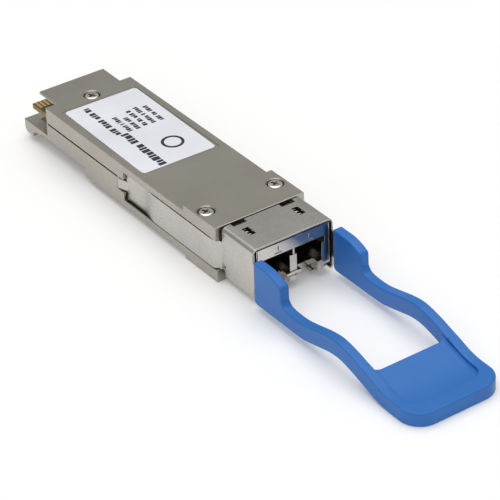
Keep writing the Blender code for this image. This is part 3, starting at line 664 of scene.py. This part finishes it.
# ---------------------------------------------------------------- nose
def nose_block():
    """The nose: two ports with latch slots below them, spring channels in the roof, and its marks."""
    roof = NOSE_TOP - SHEET - 0.1
    underside = FLANGE_BOTTOM + SHEET + 0.15
    half = BLOCK_HALF_WIDTH + 0.2
    before = NOSE_FRONT - 1
    face = [
        (-5.0, 1.45), (5.0, 1.45), (6.4, 2.4), (half, 2.5),
        (half, roof), (-half, roof), (-half, 2.5), (-6.4, 2.4),
    ]
    body = extrusion("nose_block", face, XZ, NOSE_FRONT, -0.3)
    fuse(body, block("collar", across(BLOCK_HALF_WIDTH), (-0.6, NOSE_REAR), (underside, 9.6)))
    cut(
        body,
        block("flange_room", across(8.5), (FLANGE_FRONT - 0.1, 3.0), (0, underside)),
        block("front_arch", across(4.8), (before, FLANGE_FRONT), (0, 2.95)),
    )
    for side in (-1, 1):
        cut(
            body,
            block("port", on_side(side, 0.7, 5.7), (before, 0.5), (3.4, 7.8)),
            block("port_shoulder", on_side(side, 0.22, 6.3), (before, -3.5), (6.85, 8.0)),
            block("latch_slot", on_side(side, 1.45, 4.8), (before, -1.0), (2.4, 3.6)),
            block("latch_gate", on_side(side, 1.1, 4.8), (before, LATCH_CATCH), (0, 2.9)),
        )
    cut(body, block("post_setback", across(1.0), (before, NOSE_FRONT + 0.2), (3.45, 6.8)))
    for side in (-1, 1):
        channel, pocket = on_side(side, 4.29, 5.89), on_side(side, 3.6, 6.3)
        centre = side * PORT_PITCH / 2
        cut(
            body,
            block("spring_channel", channel, (-8.0, -0.6), (8.25, PAST_TOP)),
            block("flap_pocket", pocket, (-2.0, -0.15), (8.1, PAST_TOP)),
            cylinder("barrel_hole", 1.5, (centre, 1.5, 5.7), "Y", 4.0),
        )
    base_line, mark_depth = 8.3, (before, NOSE_FRONT + 0.2)
    for side in (-1, 1):
        centre = side * PORT_PITCH / 2
        for stroke_half, low, high in ((0.75, 0.0, 0.26), (0.12, 0.46, 1.4)):
            stroke = (centre - stroke_half, centre + stroke_half)
            cut(body, block("arrow_mark", stroke, mark_depth, (base_line + low, base_line + high)))
    foot = extrusion(
        "post_foot", rounded_rectangle((NOSE_FRONT + 0.1, -7.85), (1.15, 2.9), 0.6, 8), YZ, -0.78, 0.78
    )
    fuse(body, round_edges(foot, 0.35, 5, 60))
    face_edges = (NOSE_FRONT - 0.1, NOSE_FRONT + 0.1)
    corners = [((side * half - 0.1, side * half + 0.1), face_edges, (2.6, 11)) for side in (-1, 1)]
    marks = [((x - 0.8, x + 0.8), face_edges, (8.2, 9.8)) for x in across(PORT_PITCH / 2)]
    round_edges(body, 0.3, 5, only=corners)
    round_edges(body, 0.07, 2, only=[((-7.1, 7.1), face_edges, (3.5, 11))], skip=marks)
    finish_piece(body, "nose_block", NOSE_ZINC, "module", "port_block")
    # The faces in the spring channels and flap pockets take the second material, a near-black one that
    # paints shade into these recesses
    body.data.materials.append(PAINTED_SHADE_BLACK)
    painted_shade_wells = ((3.4, 6.5), (-8.2, -0.05), (8.0, roof - 0.06))
    for face in body.data.polygons:
        x, y, z = face.center / MM
        place = (abs(x), y - FRONT / MM, z)
        if all(low < value < high for value, (low, high) in zip(place, painted_shade_wells)):
            face.material_index = 1


# ---------------------------------------------------------------- latch
def slider_sheet():
    """One folded sheet: a plate over the nose, two sides with long arms, and flanges below."""
    radius = 0.95
    inner = SIDE_OUTER - SHEET
    section = (
        [(SIDE_OUTER, SIDE_BOTTOM)]
        + arc(SIDE_OUTER - radius, NOSE_TOP - radius, radius, 0, 90, 10)
        + arc(radius - SIDE_OUTER, NOSE_TOP - radius, radius, 90, 180, 10)
        + [(-SIDE_OUTER, SIDE_BOTTOM), (-inner, SIDE_BOTTOM)]
        + arc(radius - SIDE_OUTER, NOSE_TOP - radius, radius - SHEET, 180, 90, 10)
        + arc(SIDE_OUTER - radius, NOSE_TOP - radius, radius - SHEET, 90, 0, 10)
        + [(inner, SIDE_BOTTOM)]
    )
    sheet = extrusion("slider_sheet", section, XZ, NOSE_FRONT + 0.1, -0.4)
    cut(sheet, block("plate_rear_trim", across(REACH), (-0.5, 1), (2.0, 10.2)))
    bend = 0.7
    flange_line = [(SIDE_OUTER, SIDE_BOTTOM + 0.4)]
    flange_line += arc(SIDE_OUTER - bend, FLANGE_BOTTOM + bend, bend, 0, -90, 10)
    side_foot = ribbon(flange_line, SHEET)
    flange_line.append((FLANGE_EDGE, FLANGE_BOTTOM))
    flange = ribbon(flange_line, SHEET)
    arm_line = smooth_line([
        (SIDE_OUTER, -1.4), (SIDE_OUTER, -0.6), (SIDE_OUTER + 0.12, -0.1),
        (ARM_OUTER - 0.12, 1.0), (ARM_OUTER, 1.6),
    ], 6)
    step_start, step_length, step_points = 18.5, 4.8, 18
    for i in range(step_points + 1):
        share = i / step_points
        inward = (ARM_OUTER - TIP_OUTER) * (1 - math.cos(math.pi * share)) / 2
        arm_line.append((ARM_OUTER - inward, step_start + step_length * share))
    arm_line.append((TIP_OUTER, RECESS_REAR - 0.18))
    arm = ribbon(arm_line, -SHEET)
    hook_line = smooth_line([
        (TIP_OUTER, 27.2), (TIP_OUTER, 27.8), (TIP_OUTER + 0.14, 28.4), (9.14, 30.2)
    ], 6)
    hook = ribbon(hook_line, -SHEET + 0.05)
    hook_bottom, hook_top = 4.2, 6.08
    foot_front, foot_rear = NOSE_FRONT + 0.1, FLANGE_FRONT + 0.5
    fuse(
        sheet,
        block("plate_rear_lip", across(7.2), (-1.0, -0.32), (NOSE_TOP - SHEET, NOSE_TOP)),
        *side_pair("prong", (inner, SIDE_OUTER), (PRONG_FRONT, NOSE_FRONT + 0.6), (3.2, 8.3)),
        extrusion("flange_right", flange, XZ, FLANGE_FRONT, -1.0),
        extrusion("flange_left", mirrored(flange), XZ, FLANGE_FRONT, -1.0),
        extrusion("side_foot_right", side_foot, XZ, foot_front, foot_rear),
        extrusion("side_foot_left", mirrored(side_foot), XZ, foot_front, foot_rear),
        extrusion("arm_right", arm[::-1], XY, ARM_BOTTOM, ARM_TOP),
        extrusion("arm_left", mirrored(arm)[::-1], XY, ARM_BOTTOM, ARM_TOP),
        extrusion("hook_right", hook[::-1], XY, hook_bottom, hook_top),
        extrusion("hook_left", mirrored(hook)[::-1], XY, hook_bottom, hook_top),
    )
    window, flap_rear = (4.45, 5.73), -1.3
    cut(
        sheet,
        *side_pair("spring_window", window, (-5.15, -2.7), (9, PAST_TOP)),
        *side_pair("flap_notch", (3.6, 6.3), (flap_rear, 0.5), (9, PAST_TOP)),
        *side_pair("hook_notch", (inner - 1, SIDE_OUTER + 1), (-1.2, -0.9), (3.1, 3.55)),
    )
    fuse(sheet, *side_pair("spring_flap", window, (flap_rear - SHEET, flap_rear), (8.95, NOSE_TOP)))
    front = (NOSE_FRONT, NOSE_FRONT + 0.2)
    front_edge = (across(8.3), front, (0.5, NOSE_TOP - 1.1))
    front_top = (across(8.3), front, (NOSE_TOP - 1.1, NOSE_TOP + 1))
    hooks = [(on_side(side, 7.8, 9.3), (27.0, 30.2), (3.9, 6.4)) for side in (-1, 1)]
    notches = [(on_side(side, 7.8, 8.3), (-1.6, -0.3), (2.5, 10.3)) for side in (-1, 1)]
    round_edges(sheet, 0.13, 3, 50, only=[front_top])
    round_edges(sheet, 0.05, 2, 50, skip=[front_edge, front_top] + hooks + notches)
    finish_piece(sheet, "slider_sheet", SHEET_STEEL, "latch", "latch_slider")


def moulded_tab():
    """The tab: two ears, arms that dip, rise and drop to a flat loop, and a sunk finger panel."""
    rim_top = 2.6
    ear_rear = TAB_REAR + 0.4
    upper = smooth_line([
        (-49.5, rim_top), (-46.7, rim_top + 0.04), (-44.2, 3.05), (-41.7, 3.9), (-39.2, 4.65),
        (-36.8, 5.4), (-33.1, 6.1), (-29.9, 5.82), (-26.3, 5.0), (-23.5, 4.47), (-20.8, 4.4),
        (-18.9, 4.7), (-18.1, 5.6),
    ])
    ear = smooth_line([
        (-18.05, 7.6), (-17.8, 8.2), (-16.9, 8.65), (-15.6, 9.1), (-14.2, 9.36), (-12.6, EAR_TOP)
    ], 6)
    lower = smooth_line([
        (-12.3, 1.4), (-22.6, 1.4), (-25.0, 1.65), (-28.5, 2.4), (-31.2, 2.95), (-33.8, 3.05),
        (-36.4, 2.5), (-39.0, 1.72), (-41.5, 0.9), (-43.8, 0.27), (-46.0, 0.03), (-48.5, 0.0),
    ])
    profile = (
        upper + ear + [(ear_rear, EAR_TOP)]
        + arc(ear_rear - 0.9, 2.3, 0.9, 0, -90, 8) + lower + [(TAB_FRONT, 0.0), (TAB_FRONT, rim_top)]
    )
    corner = 4.0
    plan = (
        [(TAB_HALF_WIDTH, 0), (-TAB_HALF_WIDTH, 0)]
        + arc(corner - TAB_HALF_WIDTH, TAB_FRONT + corner, corner, 180, 270, 16)
        + arc(TAB_HALF_WIDTH - corner, TAB_FRONT + corner, corner, 270, 360, 16)
    )
    tab = extrusion("moulded_tab", profile, YZ, -TAB_HALF_WIDTH, TAB_HALF_WIDTH)
    boolean(tab, extrusion("tab_plan", plan, XY, -2, PAST_TOP), "INTERSECT")
    panel_rear = -40.2
    opening = rounded_rectangle(across(TAB_INNER), (panel_rear, 2.0), 1.5, 8)
    cut(tab, extrusion("finger_opening", opening, XY, -2, PAST_TOP))

    recess_plan = rounded_rectangle(across(TAB_INNER - 0.05), (-49.85, panel_rear + 3), 2.2, 12)
    recess_side = smooth_line([
        (-52.0, 1.93), (-47.4, 1.95), (-45.0, 2.28), (-42.5, 2.98), (-40.2, 3.67), (-37.0, 4.5)
    ]) + [(-37.0, 11), (-52.0, 11)]
    recess = extrusion("panel_recess", recess_plan, XY, -2, PAST_TOP)
    boolean(recess, extrusion("recess_side", recess_side, YZ, -8, 8), "INTERSECT")
    hollow_side = smooth_line([
        (-52.0, 0.5), (-46.6, 0.5), (-44.2, 0.72), (-41.5, 1.5), (-38.0, 2.6)
    ]) + [(-38.0, -3), (-52.0, -3)]
    hollow = extrusion("under_hollow", recess_plan, XY, -2, PAST_TOP)
    boolean(hollow, extrusion("hollow_side", hollow_side, YZ, -8, 8), "INTERSECT")
    pocket = (SIDE_OUTER - SHEET - 0.08, SIDE_OUTER + 0.08)
    pocket_length = (PRONG_FRONT - 0.1, ear_rear + 1)
    cut(tab, recess, hollow, *side_pair("prong_pocket", pocket, pocket_length, (3.1, 8.4)))
    pockets = [
        ((side * 8 - 0.6, side * 8 + 0.6), (PRONG_FRONT - 0.2, ear_rear + 1), (3.0, 8.5))
        for side in (-1, 1)
    ]
    under = (across(7.2), (-50.1, -37.0), (-0.1, 0.56))
    panel = (across(7.25), (-50.2, -40.35), (0.56, 4.4))
    round_edges(tab, 0.28, 5, 35, skip=pockets + [under, panel])
    round_edges(tab, 0.14, 3, 35, only=[panel], skip=[under])
    finish_piece(tab, "moulded_tab", BLUE, "latch", "pull_tab", 40)


def coil_springs():
    """A coil in each roof channel, drawn at one length, though the real one shortens as the latch is
    pulled.
    """
    coil_radius, wire_radius = 0.55, 0.13
    turns, points_per_turn = 7, 24
    count = turns * points_per_turn
    start, end = SPRING_FRONT + wire_radius, SPRING_REAR - wire_radius
    for side, place in ((-1, "left"), (1, "right")):
        curve = bpy.data.curves.new(f"coil_{place}", "CURVE")
        curve.dimensions = "3D"
        curve.bevel_depth = wire_radius * MM
        curve.bevel_resolution = 3
        curve.use_fill_caps = True
        spline = curve.splines.new("POLY")
        spline.points.add(count)
        for i, point in enumerate(spline.points):
            angle = 2 * math.pi * i / points_per_turn
            y = start + (end - start) * i / count
            x = side * SPRING_PLACE + coil_radius * math.cos(angle)
            z = SPRING_HEIGHT + coil_radius * math.sin(angle)
            point.co = (x * MM, y * MM, z * MM, 1.0)
        path = add_object(f"coil_{place}_path", curve)
        coil = add_object(f"coil_{place}", welded(evaluated_mesh(path, f"coil_{place}")))
        bpy.data.objects.remove(path, do_unlink=True)
        finish_piece(coil, f"coil_{place}", SPRING_STEEL, "module", f"return_spring_{place}", 60)
        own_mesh(coil)


# ---------------------------------------------------------------- screws, label and card
def machine_screws():
    """Three screws with rounded rims and a cross recess that narrows on its way down."""
    head_radius, head_height, shank_radius = 1.36, 0.8, 0.8
    rim, cross_depth = 0.4, 0.75
    arm, half = 0.84, 0.2
    toe = arm - 0.3
    wedge = [
        (-arm, 1.0), (-arm, 0.0), (-toe, -cross_depth), (toe, -cross_depth), (arm, 0.0), (arm, 1.0)
    ]
    for name, (x, y, top) in SCREWS.items():
        length = top - limits(name, 2)[0] - head_height
        profile = [
            (0, head_height),
            *[
                (head_radius - rim + rim * math.sin(a), head_height - rim + rim * math.cos(a))
                for a in (0.0, 0.4, 0.8, 1.2, 1.57)
            ],
            (head_radius, 0), (shank_radius, 0),
            (shank_radius, 0.3 - length), (shank_radius - 0.3, -length), (0, -length),
        ]
        screw = turned(name, profile, (x, y, top - head_height))
        for turn in (0, 90):
            tool = extrusion(f"{name}_cross_{turn}", wedge, XZ, -half, half)
            spin = Matrix.Rotation(math.radians(turn + 25), 4, "Z")
            tool.matrix_world = Matrix.Translation(Vector((x, y, top)) * MM) @ spin @ tool.matrix_world
            cut(screw, tool)
        finish_piece(screw, f"{name}_head", BRIGHT, "module", name, 40)


def label_film():
    """The film with plain printed bars where a real one carries its text, and a plain ring."""
    turn = Matrix.Rotation(math.radians(-1.0), 4, "Z")
    askew = Matrix.Translation((-0.06 * MM, 36.8 * MM, 0.0)) @ turn
    outline = rounded_rectangle((-7.55, 7.55), (-13.25, 13.25), 0.7, 8)
    film = extrusion("label_sheet", outline, XY, LABEL_TOP - 0.09, LABEL_TOP)
    film.matrix_world = askew @ film.matrix_world
    finish_piece(film, "label_sheet", FILM, "module", "label")

    # Each row of bars: its place across, its start, the bars' height and how many stand together
    rows = (
        (-3.1, -12.8, 1.6, (8, 4)), (-3.9, 0.6, 1.25, (3, 4, 3, 2)), (-1.5, 0.4, 0.95, (4, 1, 4)),
        (0.1, 0.3, 0.95, (4, 3)), (1.75, 0.5, 0.95, (2, 2, 3, 1)), (3.4, 0.4, 0.95, (5, 1, 4)),
        (5.1, 0.4, 0.95, (3, 2, 4)),
    )
    bars = []
    for x, start, height, words in rows:
        y = start
        for count in words:
            for i in range(count):
                width = height * (0.54 + 0.16 * math.sin(2.4 * i + x))
                rise = height * (0.04 if (i * 7 + count) % 3 else 0.2)
                across_row = (x - height / 2 + rise, x + height / 2)
                bars.append(rounded_rectangle(across_row, (y, y + width), 0.05, 2))
                y += width + 0.12 * height
            y += 0.4 * height
    printed = None
    for i, outline in enumerate(bars):
        bar = extrusion(f"bar_{i}", outline, XY, LABEL_TOP - 0.004, LABEL_TOP + 0.004)
        bar.data.transform(bar.matrix_world)
        bar.matrix_world = XY
        if printed is None:
            printed = bmesh.new()
        printed.from_mesh(bar.data)
        bpy.data.objects.remove(bar, do_unlink=True)
    ring_centre = (2.4, -7.2, LABEL_TOP)
    ring = cylinder("ring", 2.1, ring_centre, "Z", 0.008)
    cut(ring, cylinder("ring_inside", 1.55, ring_centre, "Z", 1.0))
    ring.data.transform(ring.matrix_world)
    printed.from_mesh(ring.data)
    bpy.data.objects.remove(ring, do_unlink=True)
    mesh = bpy.data.meshes.new("label_print")
    printed.to_mesh(mesh)
    printed.free()
    finish_piece(add_object("label_print", mesh, askew), "label_print", INK, "module", None)


def contact_card():
    """The circuit card with its rows of gold contact pads at the plug end."""
    neck = CAVITY_HALF_WIDTH - FIT
    shoulder = REAR_CAVITY_START + FIT
    thickness = (CARD_BOTTOM, CARD_TOP)
    card = block("contact_card", across(CARD_HALF_WIDTH), (shoulder, CARD_REAR), thickness)
    fuse(card, block("card_neck", across(neck), (CARD_FRONT, shoulder + 1), thickness))
    round_edges(card, 0.08, 2, 50)
    cut(card, screw_hole("screw_rear", "card_hole", 1.0, (5, 9)))
    finish_piece(card, "contact_card", BOARD, "module", "paddle_card")

    pitch, width, rise, pads_each_side = 0.8, 0.55, 0.03, 10
    length = (57.8, CARD_REAR - 0.15)
    pads = bmesh.new()
    for surface in (CARD_TOP, CARD_BOTTOM):
        for i in range(-pads_each_side, pads_each_side):
            x = (i + 0.5) * pitch
            pad = block("pad", (x - width / 2, x + width / 2), length, (surface - rise, surface + rise))
            pad.data.transform(pad.matrix_world)
            pads.from_mesh(pad.data)
            bpy.data.objects.remove(pad, do_unlink=True)
    mesh = bpy.data.meshes.new("contact_pads")
    pads.to_mesh(mesh)
    pads.free()
    piece = round_edges(add_object("contact_pads", mesh), 0.012, 1)
    finish_piece(piece, "contact_pads", GOLD, "module", None)


# ---------------------------------------------------------------- frame nodes that stay
def finish_frame_nodes():
    """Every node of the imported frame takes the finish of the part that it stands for."""
    finishes = {
        "bottom_shell": ZINC, "top_shell": ZINC, "port_block": NOSE_ZINC,
        "latch_slider": SHEET_STEEL, "pull_tab": BLUE,
        "return_spring_left": SPRING_STEEL, "return_spring_right": SPRING_STEEL,
        "screw_front_left": BRIGHT, "screw_front_right": BRIGHT, "screw_rear": BRIGHT,
        "label": FILM, "paddle_card": BOARD,
        "transmitter_package": GOLD, "receiver_package": GOLD,
        "transmitter_barrel": STEEL, "receiver_barrel": STEEL,
        "transmitter_sleeve": CERAMIC, "receiver_sleeve": CERAMIC,
        "transmitter_stub": CERAMIC, "receiver_stub": CERAMIC,
        "transmitter_flex": AMBER, "receiver_flex": AMBER, "barrel_clamp": BLACK_PLASTIC,
        "laser_driver": EPOXY, "receiver_amplifier": EPOXY, "microcontroller": EPOXY,
        "driver_thermal_pad": GAP_PAD, "transmitter_thermal_pad": GAP_PAD,
        "receiver_thermal_pad": GAP_PAD, "seam_gasket_left": GASKET, "seam_gasket_right": GASKET,
    }
    for name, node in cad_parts.items():
        node.data.materials.clear()
        node.data.materials.append(finishes[name])


# ---------------------------------------------------------------- studio
def studio_floor():
    """A wide pale floor at the lowest face of the module."""
    mesh = bpy.data.meshes.new("studio_floor")
    shape = bmesh.new()
    bmesh.ops.create_grid(shape, x_segments=8, y_segments=8, size=3.0)
    shape.to_mesh(mesh)
    shape.free()
    floor = add_object("studio_floor", mesh, Matrix.Translation((0.0, 0.0, cad_bounds[0][2])))
    nodes = Nodes("studio_floor", 0.0)
    grain = nodes.noise(0.02, 2.0)
    tone = nodes.mix(nodes.spread(grain, 0.0, 1.0), (0.86, 0.86, 0.86), (0.87, 0.87, 0.87))
    nodes.shader.inputs["Specular IOR Level"].default_value = 0.1
    nodes.shader.inputs["Emission Color"].default_value = (1.0, 1.0, 1.0, 1.0)
    nodes.shader.inputs["Emission Strength"].default_value = 0.1
    nodes.done(tone, nodes.spread(grain, 0.6, 0.65), nodes.bump(grain, 0.0001))
    mesh.materials.append(nodes.material)


def area_light(name, position, size, power):
    """A square white light that looks at the middle of the scene."""
    data = bpy.data.lights.new(name, "AREA")
    data.shape = "RECTANGLE"
    data.size, data.size_y = size, size
    data.energy = power
    light = bpy.data.objects.new(name, data)
    bpy.context.scene.collection.objects.link(light)
    turn = (-Vector(position)).to_track_quat("-Z", "Y").to_matrix().to_4x4()
    light.matrix_world = Matrix.Translation(position) @ turn


def studio_world():
    """Dim towards the horizon and brighter overhead, so that the flat top reads as mid grey."""
    world = bpy.data.worlds.new("studio")
    world.use_nodes = True
    tree = world.node_tree
    coordinates = tree.nodes.new("ShaderNodeTexCoord")
    split = tree.nodes.new("ShaderNodeSeparateXYZ")
    ramp = tree.nodes.new("ShaderNodeValToRGB")
    tree.links.new(coordinates.outputs["Generated"], split.inputs[0])
    tree.links.new(split.outputs["Z"], ramp.inputs["Fac"])
    tree.links.new(ramp.outputs["Color"], tree.nodes["Background"].inputs["Color"])
    # The upward part of a direction, from the horizon (0) to straight up (1), and the brightness there
    stops = ((0.0, 0.36), (0.35, 0.40), (0.62, 0.47), (0.85, 0.85), (1.0, 0.9))
    elements = ramp.color_ramp.elements
    while len(elements) < len(stops):
        elements.new(0.5)
    for element, (place, value) in zip(elements, stops):
        element.position = place
        element.color = (value, value * 0.995, value * 0.985, 1.0)
    bpy.context.scene.world = world


def studio_camera():
    """A long lens from the front left, 33 degrees above the table."""
    azimuth, elevation, roll = (math.radians(angle) for angle in (-34.14, 33.05, -2.29))
    distance, shift_right, shift_up = 0.43029, -0.00204, 0.00239
    back = Vector((
        math.sin(azimuth) * math.cos(elevation),
        -math.cos(azimuth) * math.cos(elevation),
        math.sin(elevation),
    ))
    level = Vector((math.cos(azimuth), math.sin(azimuth), 0.0))
    upright = back.cross(level)
    right = level * math.cos(roll) + upright * math.sin(roll)
    up = upright * math.cos(roll) - level * math.sin(roll)
    data = bpy.data.cameras.new("camera")
    data.sensor_width = 36.0
    data.lens = 182.97
    data.clip_start = 0.01
    camera = bpy.data.objects.new("camera", data)
    bpy.context.scene.collection.objects.link(camera)
    place = Matrix((right, up, back)).transposed().to_4x4()
    place.translation = right * shift_right + up * shift_up + back * distance + Vector((0.0, FRONT, 0.0))
    camera.matrix_world = place
    bpy.context.scene.camera = camera


studio_camera()
housing_base()
housing_cover()
nose_block()
slider_sheet()
moulded_tab()
coil_springs()
machine_screws()
label_film()
contact_card()
finish_frame_nodes()
studio_floor()
studio_world()
area_light("overhead", (0.05, 0.1, 1.3), 1.5, 9.0)
area_light("fill", (-0.95, -0.8, 0.75), 0.9, 2.8)
bpy.context.scene.view_settings.view_transform = "Standard"
